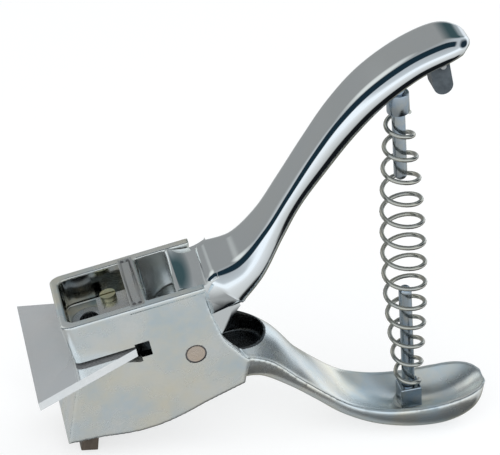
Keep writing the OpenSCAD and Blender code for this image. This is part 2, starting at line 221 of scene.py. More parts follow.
# %% [markdown]
# The lower handle is a spoon. Its section is a shallow dish between two rims, above a rounded
# belly. Near the head the dish turns over into a crown, so the handle leaves the head as a full,
# rounded root. A skin over rings was chosen because the section changes all the way along.
# %% Lower handle
RIM_WALL = 1.3
RIM_FALL = 0.3
SPOON_SIDES = 26
SPOON_STEPS = 14
# each station: x, z, half width, depth of the belly, depth of the dish, squareness
lower_line = [
    (3, -2.4, 12.9, 12.6, -1.0, 6), (12.5, -6, 12.7, 10.6, -3.8, 3.8), (19.8, -11.4, 11.4, 8.4, -3.6, 3),
    (26.3, -20.8, 10.1, 5.8, -2.2, 2.6), (32.5, -28.8, 9.7, 5.4, -0.6, 2.4),
    (39, -35.8, 9.8, 6.2, 1.2, 2.3), (47, -40.6, 10.1, 8.2, 3, 2.2), (56, -43.4, 10.2, 10.2, 4.8, 2.2),
    (65, -44.7, 10.1, 11.2, 5.2, 2.2), (72.5, -45.1, 8.9, 9.6, 3.6, 2.2),
    (76.8, -45.4, 6.2, 6.2, 1.6, 2.2), (78.8, -45.9, 3, 2.6, 0.4, 2.2),
]


def spoon_section(wide, deep, dish, square):
    inner = wide - RIM_WALL
    top = [(inner * math.cos(math.pi * k / SPOON_SIDES),
            -dish * (1 - math.cos(math.pi * k / SPOON_SIDES) ** 2)) for k in range(SPOON_SIDES + 1)]
    turns = [math.pi * (1 + k / SPOON_SIDES) for k in range(SPOON_SIDES + 1)]
    belly = [(wide * signed_power(math.cos(a), 2 / square),
              (deep - RIM_FALL) * signed_power(math.sin(a), 2 / square) - RIM_FALL) for a in turns]
    return top + belly


lower_handle = skin_over("lower handle", rings_along(curve(lower_line, SPOON_STEPS), spoon_section))
print("lower handle skin:", len(lower_handle.data.polygons), "faces")

# %% [markdown]
# The head is the side outline of the frame pushed across its width, then hollowed. The two front
# corners of the chip box are rounded. Soft cast edges come from the even re-skin, and the cuts
# that a toolmaker machines afterwards, such as the throat, are made last and stay crisp.
# %% Head outline
HEAD_W = 26.0
HALF_W = HEAD_W / 2
RIM_Z = 20.0
FRONT_X = -33.2
CORNER_R = 3.4
CORNER_LOW = 6
CORNER_STEPS = 12
back_edge = [(7, 20), (6.5, 15), (7.2, 8), (8.4, 2), (10.4, -2), (13.6, -7.2)]
base_edge = [(11, -14.4), (0, -16.8), (-6, -18.4), (-12, -19.6), (-18, -20), (-24, -19.5),
             (-31.4, -18.1), (-40.4, -17.2)]
outline = ([(-33, RIM_Z)] + [tuple(p) for p in curve(back_edge, 6)]
           + [tuple(p) for p in curve(base_edge, 5)] + [(-31.8, 5.5)])


def corner_cutter(side):
    turns = [math.pi / 2 * k / CORNER_STEPS for k in range(CORNER_STEPS + 1)]
    arc = [(CORNER_R - CORNER_R * math.cos(a), CORNER_R - CORNER_R * math.sin(a)) for a in turns]
    spot = [(-1, CORNER_R), (-1, -1), (CORNER_R, -1)] + arc[::-1]
    shape = [(FRONT_X + a, side * (HALF_W - b)) for a, b in spot]
    return prism("cutter", shape, CORNER_LOW, RIM_Z + 2, along="z")


head = prism("frame_body", outline, -HALF_W, HALF_W)
combine(head, [corner_cutter(-1), corner_cutter(1)])
combine(head, [lower_handle], "UNION")
print("head and handle joined:", len(head.data.polygons), "faces")

# %% [markdown]
# These cuts are as old as the casting, so they are made before the edges are softened: the chip
# box, the bay where the lever turns, the bay under it with room for the hub, and the pocket behind.
# %% Cast hollows
CHEEK = 2.6
INNER_W = HEAD_W - 2 * CHEEK
HALF_INNER = INNER_W / 2
FLOOR_Z = 10.6
BOX_FRONT, BOX_BACK, BOX_CORNER_R = -30.8, -11.2, 2.2
HUB_ROOM_R = 9.2
UNDER_BASE = -21
BAY_FRONT, BAY_BACK, BAY_FLOOR = -8.8, 19, -3
NOSE_BAY_FRONT, NOSE_BAY_BACK, NOSE_BAY_ROOF = -30.4, 2, 5.5
SLIT_FRONT, SLIT_BACK, SLIT_ROOF = -2, 6, -4
POCKET_X, POCKET_R, POCKET_FLOOR, POCKET_TOP = 10.6, 9.6, -12.5, 5
CAST_GRAIN, CAST_ROUNDS = ((0.3, 9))


def rounded_plan(x0, x1, half, r, steps=6):
    plan = []
    for cx, cy, start in ((x1 - r, half - r, 0), (x0 + r, half - r, 90),
                          (x0 + r, r - half, 180), (x1 - r, r - half, 270)):
        plan += [(cx + r * math.cos(math.radians(start + 90 * k / steps)),
                  cy + r * math.sin(math.radians(start + 90 * k / steps))) for k in range(steps + 1)]
    return plan


combine(head, [
    prism("cutter", rounded_plan(BOX_FRONT, BOX_BACK, HALF_INNER, BOX_CORNER_R),
          FLOOR_Z, RIM_Z + 1, along="z"),
    block(BAY_FRONT, BAY_BACK, INNER_W, BAY_FLOOR, RIM_Z + 1),
    block(NOSE_BAY_FRONT, NOSE_BAY_BACK, INNER_W, UNDER_BASE, NOSE_BAY_ROOF),
    prism("cutter", circle(0, 0, HUB_ROOM_R), -HALF_INNER, HALF_INNER),
    block(SLIT_FRONT, SLIT_BACK, INNER_W, UNDER_BASE, SLIT_ROOF),
    prism("cutter", circle(POCKET_X, 0, POCKET_R), POCKET_FLOOR, POCKET_TOP, along="z"),
])
soften(head, CAST_GRAIN, CAST_ROUNDS)
print("softened frame:", len(head.data.polygons), "faces")

# %% [markdown]
# Three small parts sit in seats of the frame. The spring's stud goes down into the spoon on a lean,
# so its seat is a stepped round hole along that lean, wide for the nut and narrow below it. The
# foot's seat is the foot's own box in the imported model, opened at the bottom. Reading the box keeps
# the seat right if the foot is ever moved.
# %% Seats for the stud and the foot
SPRING_LEAN = math.radians(7.95)
spring_foot = Vector((57, 0, -41.4))
spring_up = Vector((math.sin(SPRING_LEAN), 0, math.cos(SPRING_LEAN)))
ROD_SIDES = 40
NUT_SEAT_DEPTH, NUT_SEAT_R = 6.6, 4.65
STUD_SEAT_DEPTH, STUD_SEAT_R = 10.6, 1.85
FOOT_OPENING_M = 0.01


def rod(start, up, r, length):
    """A round bar from a start point along a direction in the symmetry plane."""
    out = Vector((up.z, 0, -up.x))
    rings = [[start + up * h + r * (math.cos(a) * out + math.sin(a) * Vector((0, 1, 0)))
              for a in (2 * math.pi * k / ROD_SIDES for k in range(ROD_SIDES))] for h in (0, length)]
    return skin_over("cutter", rings)


nut_seat = rod(spring_foot - spring_up * NUT_SEAT_DEPTH, spring_up, NUT_SEAT_R, 14)
stud_seat = rod(spring_foot - spring_up * STUD_SEAT_DEPTH, spring_up, STUD_SEAT_R, 6)
foot_low, foot_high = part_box("rest_foot")
foot_bottom = foot_low.z - FOOT_OPENING_M
foot_seat = prism("cutter", [(foot_low.x, foot_bottom), (foot_high.x, foot_bottom),
                             (foot_high.x, foot_high.z), (foot_low.x, foot_high.z)],
                  foot_low.y, foot_high.y)
foot_seat.data.transform(STANCE.inverted())
print("foot seat in mm:", [round(1000 * v, 1) for v in foot_high - foot_low])

# %% [markdown]
# Machined cuts: the card throat, the window behind it and the sliver under the table's end, the
# seat of the bridge bar, the pin's hole with its shallow ring, the die's hole, the seats above, and
# the fine line under the rim on both sides. They come after the re-skin, so they stay crisp.
# %% Machined cuts
JAW_Z = 8.1
TABLE_LOW = 4.5
THROAT_FRONT, THROAT_BACK = -46, -15.2
WINDOW_BACK, WINDOW_LOW, WINDOW_TOP = -11.2, 4.1, 8.8
BRIDGE_FRONT, BRIDGE_BACK, BRIDGE_DEPTH = -13.4, -9.4, 3
ACROSS = HEAD_W + 2
OUTSIDE = HALF_W + 1
PIN_R, PIN_RING_R, PIN_RING_DEPTH = 2.5, 2.95, 0.35
DIE_X, DIE_R = -25, 4.1
LINE_FRONT, LINE_BACK, LINE_LOW, LINE_HIGH, LINE_DEPTH = -14, 9, 18.55, 18.85, 0.3
machined = [
    block(THROAT_FRONT, THROAT_BACK, ACROSS, TABLE_LOW, JAW_Z),
    block(THROAT_BACK - 0.1, WINDOW_BACK, ACROSS, WINDOW_LOW, WINDOW_TOP),
    prism("cutter", [(-20.6, 4.6), (-15.2, 2.8), (-14.2, 2.8), (-14.2, 4.6)], -OUTSIDE, OUTSIDE),
    block(BRIDGE_FRONT, BRIDGE_BACK, HEAD_W - CHEEK, RIM_Z - BRIDGE_DEPTH, RIM_Z + 1),
    prism("cutter", circle(0, 0, PIN_R), -OUTSIDE, OUTSIDE),
    prism("cutter", circle(0, 0, PIN_RING_R), -OUTSIDE, PIN_RING_DEPTH - HALF_W),
    prism("cutter", circle(0, 0, PIN_RING_R), HALF_W - PIN_RING_DEPTH, OUTSIDE),
    prism("cutter", circle(DIE_X, 0, DIE_R), JAW_Z - 1, FLOOR_Z + 1, along="z"),
    foot_seat,
    nut_seat,
    stud_seat,
]
for edge in (-HALF_W, HALF_W):
    line = [(LINE_FRONT, LINE_LOW), (LINE_BACK, LINE_LOW), (LINE_BACK, LINE_HIGH),
            (LINE_FRONT, LINE_HIGH)]
    machined.append(prism("cutter", line, edge - LINE_DEPTH, edge + LINE_DEPTH))
combine(head, machined)
shade(head, 32)
print("machined frame:", len(head.data.polygons), "faces")

# %% [markdown]
# Shade is painted into the frame's hollows as darker finishes: in the pin's ring, the pocket, the
# chip box and the throat. It is the same piece of metal, so those faces stay in it and only take
# another finish. A face's place on the head tells which painted shade it gets.
# %% Painted shade in the frame's hollows
# numbers of the painted shade in the frame's list: dark ring, near-black pocket and throat, darker chip
# box
RING_SHADE, POCKET_SHADE, BOX_SHADE = 1, 2, 3


def in_ring(c, n):
    return math.hypot(c.x, c.z) < 3.0 and abs(c.y) > 12.4


def in_pocket(c, n):
    wall = abs(math.hypot(c.x - POCKET_X, c.y) - POCKET_R) < 0.7 and -12.6 < c.z < -1.5
    return wall or n.z > 0.7 and abs(c.z - POCKET_FLOOR) < 0.5 and c.x < 22


def in_box(c, n):
    return -31.0 < c.x < -8 and abs(c.y) < HALF_INNER + 0.15 and FLOOR_Z - 0.5 < c.z < RIM_Z - 0.7


def in_throat(c, n):
    roof = n.z < -0.5 and abs(c.z - JAW_Z) < 0.2 and c.x < -11
    return roof or -15.4 < c.x < -11 and 4 < c.z < 8.9 and abs(c.y) < HALF_W - 0.2


# the faces in each hollow take their painted shade
for test, shade_number in ((in_ring, RING_SHADE), (in_pocket, POCKET_SHADE),
                            (in_box, BOX_SHADE), (in_throat, POCKET_SHADE)):
    found = [face for face in head.data.polygons if test(face.center, face.normal)]
    for face in found:
        face.material_index = shade_number
    print(test.__name__, "takes", len(found), "faces")
place(head, "frame", "frame_casting")

# %% [markdown]
# The lever's grip has a different section: a narrow flat crest on top, then a soft crease and full
# round sides. Its root flares until it is nearly as wide as the head, and its end drops back to the
# hub in one sharp facet. That facet is why the first ring is joined by a straight step, not by the
# curve.
# %% Upper handle
GRIP_SIDES = 25
GRIP_STEPS = 12
CREST = 1.16
# each station: x, z, half width, height above the line, depth below it, squareness
root_station = np.array((9.6, 10.8, 9.7, 6.6, 3.2, 5.0))
upper_line = [
    (13.4, 14, 12, 7.4, 6.9, 2.8), (20.3, 18, 10.4, 4.4, 6.1, 2.4), (28, 25.6, 8.2, 2.7, 4.8, 2.4),
    (35.5, 34.1, 7.6, 2.3, 4.5, 2.3), (44.9, 43.3, 7.9, 2.9, 4.8, 2.3), (53.8, 51.4, 8.5, 3.3, 5, 2.3),
    (63.3, 58.1, 9, 3.4, 5, 2.3), (74.2, 62.9, 9, 3.3, 4.7, 2.3), (83.9, 64.8, 8.7, 3.2, 4.3, 2.3),
    (88.7, 64.3, 6.6, 2.5, 3.5, 2.2), (90.8, 63, 2.8, 1.2, 1.6, 2),
]


def grip_section(wide, up, down, square):
    points = []
    for k in range(2 * GRIP_SIDES + 2):
        a = math.pi * (k + 0.5) / (GRIP_SIDES + 1)
        s = math.sin(a)
        full = abs(s) ** (2 / square)
        height = min(up, CREST * up * full) if s > 0 else -down * full
        points.append((wide * signed_power(math.cos(a), 2 / square), height))
    return points


upper_handle = skin_over("upper handle",
                         rings_along([root_station] + curve(upper_line, GRIP_STEPS), grip_section))
print("upper handle skin:", len(upper_handle.data.polygons), "faces")

# %% [markdown]
# The hub turns between the cheeks. Over it stands the lever's block, with a shallow hollow in its
# top, and in front of it the nose, which works the punch. Flat outlines pushed across the head are
# enough for all three, because little more than the block's top can be seen.
# %% Hub, block and nose
LEVER_W = INNER_W - 1.0
FORK_W = 16.0
HUB_R = 8.4
TIP_X, TIP_R = -25, 3.7
HOLLOW_DEPTH = 1.5
DRIVE_Z = -10.5
hub = prism("lever_body", circle(0, 0, HUB_R, 96), -LEVER_W / 2, LEVER_W / 2)
hollow = [(0.6 + 0.7 * k, 20.2 - HOLLOW_DEPTH * math.sin(math.pi * k / 16) ** 0.9)
          for k in range(1, 16)]
hub_top = ([(-0.6, 0), (-0.6, 19.0), (0.6, 20.2)] + hollow
           + [(11.4, 20.4), (13, 14), (15.2, 9), (11.6, 5.6), (8.2, 1.6)])
combine(hub, [prism("top", hub_top, -LEVER_W / 2, LEVER_W / 2)], "UNION")
nose = prism("nose", [(-25, -6.8), (-16.4, -5.0), (-4, 4), (1, -8.3), (-23.3, -14.2), (-25, -14.2)],
             -FORK_W / 2, FORK_W / 2)
combine(nose, [prism("tip", circle(TIP_X, DRIVE_Z, TIP_R), -FORK_W / 2, FORK_W / 2)], "UNION")
combine(hub, [nose], "UNION")
round_edges(hub, 0.45, 3)
settle(hub)
print("hub, block and nose:", len(hub.data.polygons), "faces")

# %% [markdown]
# Next the lever's holes: the bush in the hub, the gap of the fork, the drive pin, and the seats of
# the upper stud's collar and of the rubber stop. The drive pin's slot is out of sight, so a round
# hole stands for it.
# %% Lever bores and seats
BUSH_R = 3.9
FORK_GAP = 9.2
DRIVE_HOLE_X, DRIVE_HOLE_R = -24.2, 1.9
COLLAR_SEAT_R = 3.2
SPRING_L = 90.2
collar_foot = spring_foot + spring_up * SPRING_L
combine(hub, [
    prism("cutter", circle(0, 0, BUSH_R), -LEVER_W, LEVER_W),
    block(-33, -17.9, FORK_GAP, -20, 3),
    prism("cutter", circle(DRIVE_HOLE_X, DRIVE_Z, DRIVE_HOLE_R), -FORK_W, FORK_W),
])
combine(hub, [upper_handle], "UNION")
combine(hub, [
    rod(collar_foot, spring_up, COLLAR_SEAT_R, 6),
    block(79.5, 84.9, 6, 53, 63.6),
])
shade(hub, 30)
place(hub, "lever", "lever_casting")

# %% [markdown]
# The return spring is a barrel: narrow where it grips the two studs and fat in the middle. It could
# be a curve with a round bevel. A round ring swept along the coil gives the same wire as plain
# faces, and lets the coil's width follow one formula. It stands on the frame and pushes on the
# lever.
# %% Return spring
COILS = 13
STEPS_PER_COIL = 28
WIRE = 1.25
WIRE_SIDES = 14
MIDDLE_D, END_D = 13.0, 7.4
BARREL_POWER = 0.85
END_GAP = 0.05
TINY_STEP = 0.001
spring_out = Vector((math.cos(SPRING_LEAN), 0, -math.sin(SPRING_LEAN)))


def coil_point(t):
    a = -2 * math.pi * COILS * t
    r = (END_D + (MIDDLE_D - END_D) * max(math.sin(math.pi * t), 0) ** BARREL_POWER - WIRE) / 2
    rise = WIRE / 2 + END_GAP + (SPRING_L - WIRE - 2 * END_GAP) * t
    return (spring_foot + spring_up * rise + r * math.cos(a) * spring_out
            + r * math.sin(a) * Vector((0, 1, 0)))


wire_rings = []
for i in range(COILS * STEPS_PER_COIL + 1):
    t = i / (COILS * STEPS_PER_COIL)
    here = coil_point(t)
    ahead = (coil_point(min(t + TINY_STEP, 1)) - coil_point(max(t - TINY_STEP, 0))).normalized()
    side = ahead.cross(spring_up).normalized()
    lift = side.cross(ahead)
    wire_rings.append([here + WIRE / 2 * (math.cos(a) * side + math.sin(a) * lift)
                       for a in (2 * math.pi * k / WIRE_SIDES for k in range(WIRE_SIDES))])
spring = skin_over("barrel_spring", wire_rings)
shade(spring, 60)
spring.data.transform(STANCE)
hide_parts("return_spring")
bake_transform(spring)
print("spring has", len(spring.data.polygons), "faces")

# %% [markdown]
# Finishes. Effects that several metals share are built once, as node groups: the cloudy tint of
# plated castings, a fine skin, brushed lines, worn edges and grime in corners. Each material then
# sets its own amounts. These helpers keep the node code short.
# %% Node helpers
def new_group(name, inputs, outputs):
    group = bpy.data.node_groups.new(name, "ShaderNodeTree")
    for label, kind, value in inputs:
        socket = group.interface.new_socket(label, in_out="INPUT", socket_type=kind)
        socket.default_value = value
    for label, kind in outputs:
        group.interface.new_socket(label, in_out="OUTPUT", socket_type=kind)
    return group, group.nodes.new("NodeGroupInput"), group.nodes.new("NodeGroupOutput")


def feed(tree, value, target):
    """Links the value if it comes from another node, and sets it if it is a plain number or colour."""
    if isinstance(value, bpy.types.NodeSocket):
        tree.links.new(value, target)
    else:
        target.default_value = value


def noise(tree, coords, scale, detail, rough):
    node = tree.nodes.new("ShaderNodeTexNoise")
    feed(tree, scale, node.inputs["Scale"])
    feed(tree, detail, node.inputs["Detail"])
    feed(tree, rough, node.inputs["Roughness"])
    feed(tree, coords, node.inputs["Vector"])
    return node.outputs["Fac"]


def remap(tree, value, low, high, to_low=0.0, to_high=1.0):
    node = tree.nodes.new("ShaderNodeMapRange")
    for name, number in (("Value", value), ("From Min", low), ("From Max", high),
                         ("To Min", to_low), ("To Max", to_high)):
        feed(tree, number, node.inputs[name])
    return node.outputs["Result"]


def math_node(tree, how, a, b):
    node = tree.nodes.new("ShaderNodeMath")
    node.operation = how
    feed(tree, a, node.inputs[0])
    feed(tree, b, node.inputs[1])
    return node.outputs[0]


def mix_colour(tree, factor, a, b):
    node = tree.nodes.new("ShaderNodeMix")
    node.data_type = "RGBA"
    for index, value in ((0, factor), (6, a), (7, b)):
        feed(tree, value, node.inputs[index])
    return node.outputs[2]


def object_coords(tree):
    return tree.nodes.new("ShaderNodeTexCoord").outputs["Object"]


print("node helpers are ready")

# %% [markdown]
# Plated zinc is never one grey. Large soft clouds lean to a cool tint in one place and to a warm
# one in another, and the gloss changes with the cool ones. Two noises do it, the second shifted so
# that the two kinds of cloud don't fall on each other.
# %% Cloudy plate group
cloudy, into, out = new_group("cloudy_plate", [
    ("Colour", "NodeSocketColor", (0.7, 0.72, 0.74, 1)),
    ("Cool", "NodeSocketColor", (0.6, 0.68, 0.72, 1)),
    ("Warm", "NodeSocketColor", (0.72, 0.72, 0.66, 1)),
    ("Scale", "NodeSocketFloat", 90.0),
    ("Amount", "NodeSocketFloat", 0.5),
], [("Colour", "NodeSocketColor"), ("Cloud", "NodeSocketFloat")])
CLOUD_STARTS, CLOUD_FULL = 0.42, 0.7
coords = object_coords(cloudy)
first = noise(cloudy, coords, into.outputs["Scale"], 4, 0.6)
shifted = cloudy.nodes.new("ShaderNodeVectorMath")
shifted.inputs[1].default_value = (0.31, 0.17, 0.53)
feed(cloudy, coords, shifted.inputs[0])
second = noise(cloudy, shifted.outputs[0], into.outputs["Scale"], 4, 0.6)
cool_cloud = remap(cloudy, first, CLOUD_STARTS, CLOUD_FULL)
warm_cloud = remap(cloudy, second, CLOUD_STARTS, CLOUD_FULL)
cool = math_node(cloudy, "MULTIPLY", cool_cloud, into.outputs["Amount"])
warm = math_node(cloudy, "MULTIPLY", warm_cloud, into.outputs["Amount"])
tinted = mix_colour(cloudy, cool, into.outputs["Colour"], into.outputs["Cool"])
feed(cloudy, mix_colour(cloudy, warm, tinted, into.outputs["Warm"]), out.inputs["Colour"])
feed(cloudy, first, out.inputs["Cloud"])
print(cloudy.name, "has", len(cloudy.nodes), "nodes")

# %% [markdown]
# No cast or moulded skin is perfectly smooth. A fine noise gives a small height for the bump, and a
# coarser one takes scattered pits out of it.
# %% Fine skin group
skin, into, out = new_group("fine_skin", [
    ("Scale", "NodeSocketFloat", 1500.0), ("Pits", "NodeSocketFloat", 0.3),
], [("Height", "NodeSocketFloat")])
coords = object_coords(skin)
fine = noise(skin, coords, into.outputs["Scale"], 3, 0.6)
coarse_scale = math_node(skin, "MULTIPLY", into.outputs["Scale"], 0.25)
pits = remap(skin, noise(skin, coords, coarse_scale, 2, 0.5), 0.30, 0.38)
pitted = math_node(skin, "MULTIPLY", math_node(skin, "SUBTRACT", 1.0, pits), into.outputs["Pits"])
feed(skin, math_node(skin, "SUBTRACT", fine, pitted), out.inputs["Height"])
print(skin.name, "has", len(skin.nodes), "nodes")

# %% [markdown]
# Polishing belts and lathes leave fine lines that all run one way. The same noise gives them when
# it is squeezed in two directions and left long in the third.
# %% Brushed lines group
brushed, into, out = new_group("brushed_lines", [
    ("Stretch", "NodeSocketVector", (40.0, 3000.0, 3000.0)), ("Contrast", "NodeSocketFloat", 1.0),
], [("Lines", "NodeSocketFloat")])
stretched = brushed.nodes.new("ShaderNodeVectorMath")
stretched.operation = "MULTIPLY"
feed(brushed, object_coords(brushed), stretched.inputs[0])
feed(brushed, into.outputs["Stretch"], stretched.inputs[1])
lines = noise(brushed, stretched.outputs[0], 1.0, 2, 0.5)
feed(brushed, math_node(brushed, "MULTIPLY", lines, into.outputs["Contrast"]), out.inputs["Lines"])
print(brushed.name, "has", len(brushed.nodes), "nodes")

# %% [markdown]
# Handling wears the outer edges bright, and grime stays where the surface turns inwards. Pointiness
# tells the two apart, and a noise breaks both up, so that no edge is worn evenly along its length.
# %% Edge and corner group
edges, into, out = new_group("edges_and_corners", [
    ("Wear", "NodeSocketFloat", 0.5), ("Grime", "NodeSocketFloat", 0.5),
    ("Scale", "NodeSocketFloat", 700.0),
], [("Worn", "NodeSocketFloat"), ("Dirty", "NodeSocketFloat")])
bend = edges.nodes.new("ShaderNodeNewGeometry").outputs["Pointiness"]
patchy = noise(edges, object_coords(edges), into.outputs["Scale"], 4, 0.7)
broken = remap(edges, patchy, 0.35, 0.65, 0.3, 1.0)
for name, low, high, amount in (("Worn", 0.53, 0.60, "Wear"), ("Dirty", 0.47, 0.40, "Grime")):
    mask = math_node(edges, "MULTIPLY", remap(edges, bend, low, high), broken)
    feed(edges, math_node(edges, "MULTIPLY", mask, into.outputs[amount]), out.inputs[name])
print("node groups:", [g.name for g in bpy.data.node_groups])

# %% [markdown]
# One function builds every metal: a Principled shader, clouds for its colour and gloss, a fine skin
# for its bump, brushed lines over both where it has them, and the edge group on top.
# %% Metal builder
GLOSS_SWING = 0.25
GRIME_COLOUR = (0.08, 0.075, 0.07, 1)
GRIME_ROUGH = 0.25
RELIEF_DEPTH = 0.0001


def use_group(tree, group, **values):
    node = tree.nodes.new("ShaderNodeGroup")
    node.node_tree = group
    for name, value in values.items():
        node.inputs[name].default_value = value
    return node


def new_material(name):
    material = bpy.data.materials.new(name)
    material.use_nodes = True
    return material, material.node_tree, material.node_tree.nodes["Principled BSDF"]


def emboss(tree, shader, height, strength):
    relief = tree.nodes.new("ShaderNodeBump")
    relief.inputs["Strength"].default_value = strength
    relief.inputs["Distance"].default_value = RELIEF_DEPTH
    feed(tree, height, relief.inputs["Height"])
    feed(tree, relief.outputs["Normal"], shader.inputs["Normal"])


def metal(name, colour, cool, warm, rough, cloud_scale, bump, cloud=0.5, skin_scale=1500.0,
          pits=0.2, wear=0.4, grime=0.5, lines=None, metallic=1.0):
    material, tree, shader = new_material(name)
    shader.inputs["Metallic"].default_value = metallic
    plate = use_group(tree, cloudy, Colour=(*colour, 1), Cool=(*cool, 1), Warm=(*warm, 1),
                      Scale=cloud_scale, Amount=cloud)
    turned = use_group(tree, edges, Wear=wear, Grime=grime)
    polished = (*[min(1, 1.12 * c + 0.03) for c in colour], 1)
    bright = mix_colour(tree, turned.outputs["Worn"], plate.outputs["Colour"], polished)
    feed(tree, mix_colour(tree, turned.outputs["Dirty"], bright, GRIME_COLOUR),
         shader.inputs["Base Color"])
    gloss = remap(tree, plate.outputs["Cloud"], 0.3, 0.7,
                  rough * (1 - GLOSS_SWING), rough * (1 + GLOSS_SWING))
    dull = math_node(tree, "MULTIPLY", turned.outputs["Dirty"], GRIME_ROUGH)
    gloss = math_node(tree, "ADD", gloss, dull)
    fine = use_group(tree, skin, Scale=skin_scale, Pits=pits).outputs["Height"]
    if lines:
        brush = use_group(tree, brushed, Stretch=lines, Contrast=1.0).outputs["Lines"]
        gloss = math_node(tree, "ADD", gloss, remap(tree, brush, 0.3, 0.7, -0.06, 0.08))
        fine = math_node(tree, "ADD", fine, brush)
    feed(tree, gloss, shader.inputs["Roughness"])
    emboss(tree, shader, fine, bump)
    return material


print("the metal builder uses", cloudy.name + ",", edges.name + ",", skin.name, "and", brushed.name)

# %% [markdown]
# The frame is satin: its clouds show, and it mirrors only softly. The lever is polished to a mirror
# with hardly a cloud in it. The card table is as bright, with fine lines across it. One builder
# makes all three, since they differ only in their amounts.
# %% Castings and table
cast_satin = metal("cast_satin", (0.78, 0.80, 0.79), (0.60, 0.72, 0.79), (0.84, 0.80, 0.68), 0.27,
                   cloud=0.95, cloud_scale=62, skin_scale=1800, pits=0.02, bump=0.05, wear=0.25,
                   metallic=0.9)
cast_mirror = metal("cast_mirror", (0.80, 0.83, 0.85), (0.70, 0.76, 0.82), (0.80, 0.80, 0.76), 0.07,
                    cloud=0.25, cloud_scale=60, skin_scale=900, pits=0.05, bump=0.012, wear=0.2,
                    grime=0.2)
table_plate = metal("table_plate", (0.84, 0.86, 0.88), (0.74, 0.81, 0.86), (0.86, 0.82, 0.80), 0.08,
                    cloud=0.35, cloud_scale=80, skin_scale=1300, pits=0.1, bump=0.02, wear=0.5,
                    grime=0.4, lines=(3000.0, 60.0, 3000.0), metallic=0.8)
print("castings and table have their plate")

# %% [markdown]
# The small parts are other metals: tool steel, ground steel, blued studs, a yellow-plated screw, a
# copper-coloured pin, a bronze bush, a spring wire. The last two finishes are painted shade for the
# frame's hollows: near black for the pocket and throat, a darker plate for the chip box.
# Each is one call of the metal builder with its own colours, and the turned and ground ones have
# lines that run the way they were worked.
# %% Small metals
tool_steel = metal("tool_steel", (0.42, 0.43, 0.45), (0.34, 0.37, 0.42), (0.46, 0.42, 0.36), 0.28,
                   cloud_scale=250, bump=0.15, wear=0.6, lines=(3000.0, 3000.0, 200.0))
bright_steel = metal("bright_steel", (0.62, 0.62, 0.62), (0.55, 0.58, 0.62), (0.62, 0.59, 0.54), 0.25,
                     cloud_scale=220, bump=0.15, wear=0.5, lines=(150.0, 3000.0, 3000.0))
bar_steel = metal("bar_steel", (0.66, 0.67, 0.67), (0.58, 0.62, 0.66), (0.68, 0.66, 0.60), 0.33,
                  cloud_scale=160, bump=0.2, wear=0.5, lines=(3000.0, 120.0, 3000.0))
yellow_screw = metal("yellow_screw", (0.56, 0.54, 0.36), (0.42, 0.50, 0.38), (0.62, 0.50, 0.28), 0.3,
                     cloud=0.8, cloud_scale=400, bump=0.15)
dark_screw = metal("dark_screw", (0.20, 0.20, 0.21), (0.15, 0.17, 0.20), (0.24, 0.20, 0.17), 0.4,
                   cloud_scale=400, bump=0.2, wear=0.8)
pin_copper = metal("pin_copper", (0.80, 0.68, 0.58), (0.72, 0.64, 0.58), (0.82, 0.64, 0.48), 0.3,
                   cloud_scale=300, bump=0.15, lines=(2500.0, 200.0, 2500.0))
blue_steel = metal("blue_steel", (0.36, 0.42, 0.48), (0.22, 0.32, 0.44), (0.46, 0.46, 0.42), 0.16,
                   cloud=0.7, cloud_scale=300, bump=0.1, wear=0.5, lines=(2500.0, 2500.0, 120.0))
bronze_bush = metal("bronze_bush", (0.62, 0.44, 0.24), (0.52, 0.38, 0.24), (0.70, 0.50, 0.26), 0.35,
                    cloud_scale=300, bump=0.2)
rivet_steel = metal("rivet_steel", (0.52, 0.53, 0.54), (0.45, 0.48, 0.52), (0.54, 0.52, 0.47), 0.3,
                    cloud_scale=350, bump=0.15)
spring_wire = metal("spring_wire", (0.50, 0.50, 0.46), (0.42, 0.44, 0.44), (0.56, 0.53, 0.43), 0.22,
                    cloud=0.6, cloud_scale=260, skin_scale=2600, pits=0.3, bump=0.15, wear=0.2,
                    grime=0.3)
# painted shade: near black for the pocket and throat, and a darker plate for the chip box, standing in
# for the shade in those hollows
pocket_shade = metal("pocket_shade", (0.10, 0.11, 0.115), (0.07, 0.09, 0.11), (0.14, 0.12, 0.10),
                     0.22, cloud_scale=200, bump=0.1, wear=0.2, grime=0.6)
box_shade_plate = metal("box_shade_plate", (0.46, 0.48, 0.47), (0.26, 0.33, 0.34), (0.52, 0.47, 0.38), 0.13,
                  cloud=0.9, cloud_scale=150, skin_scale=1200, bump=0.06, wear=0.3, grime=0.7)
print(len(bpy.data.materials), "materials so far, the packed model's own among them")

# %% [markdown]
# The foot and the stop are rubber: dark, dull, slightly mottled, with a fine moulded grain and a
# pale bloom on their edges. The metals' groups serve again, with other amounts, because mottling,
# grain and worn edges follow the same pattern on both.
# %% Rubber builder
RUBBER_SPECULAR = 0.35
RUBBER_BUMP = 0.35


def rubber(name, colour, pale, rough, streak):
    material, tree, shader = new_material(name)
    shader.inputs["Specular IOR Level"].default_value = RUBBER_SPECULAR
    plate = use_group(tree, cloudy, Colour=(*colour, 1), Cool=(*[0.7 * c for c in colour], 1),
                      Warm=(*pale, 1), Scale=220.0, Amount=0.8)
    turned = use_group(tree, edges, Wear=0.6, Grime=0.2)
    bloom = mix_colour(tree, turned.outputs["Worn"], plate.outputs["Colour"], (*pale, 1))
    flow = use_group(tree, brushed, Stretch=streak, Contrast=1.0).outputs["Lines"]
    feed(tree, mix_colour(tree, remap(tree, flow, 0.45, 0.75, 0, 0.5), bloom, (*pale, 1)),
         shader.inputs["Base Color"])
    feed(tree, remap(tree, plate.outputs["Cloud"], 0.3, 0.7, rough - 0.1, rough + 0.1),
         shader.inputs["Roughness"])
    grain = use_group(tree, skin, Scale=3000.0, Pits=0.4).outputs["Height"]
    emboss(tree, shader, math_node(tree, "ADD", grain, flow), RUBBER_BUMP)
    return material


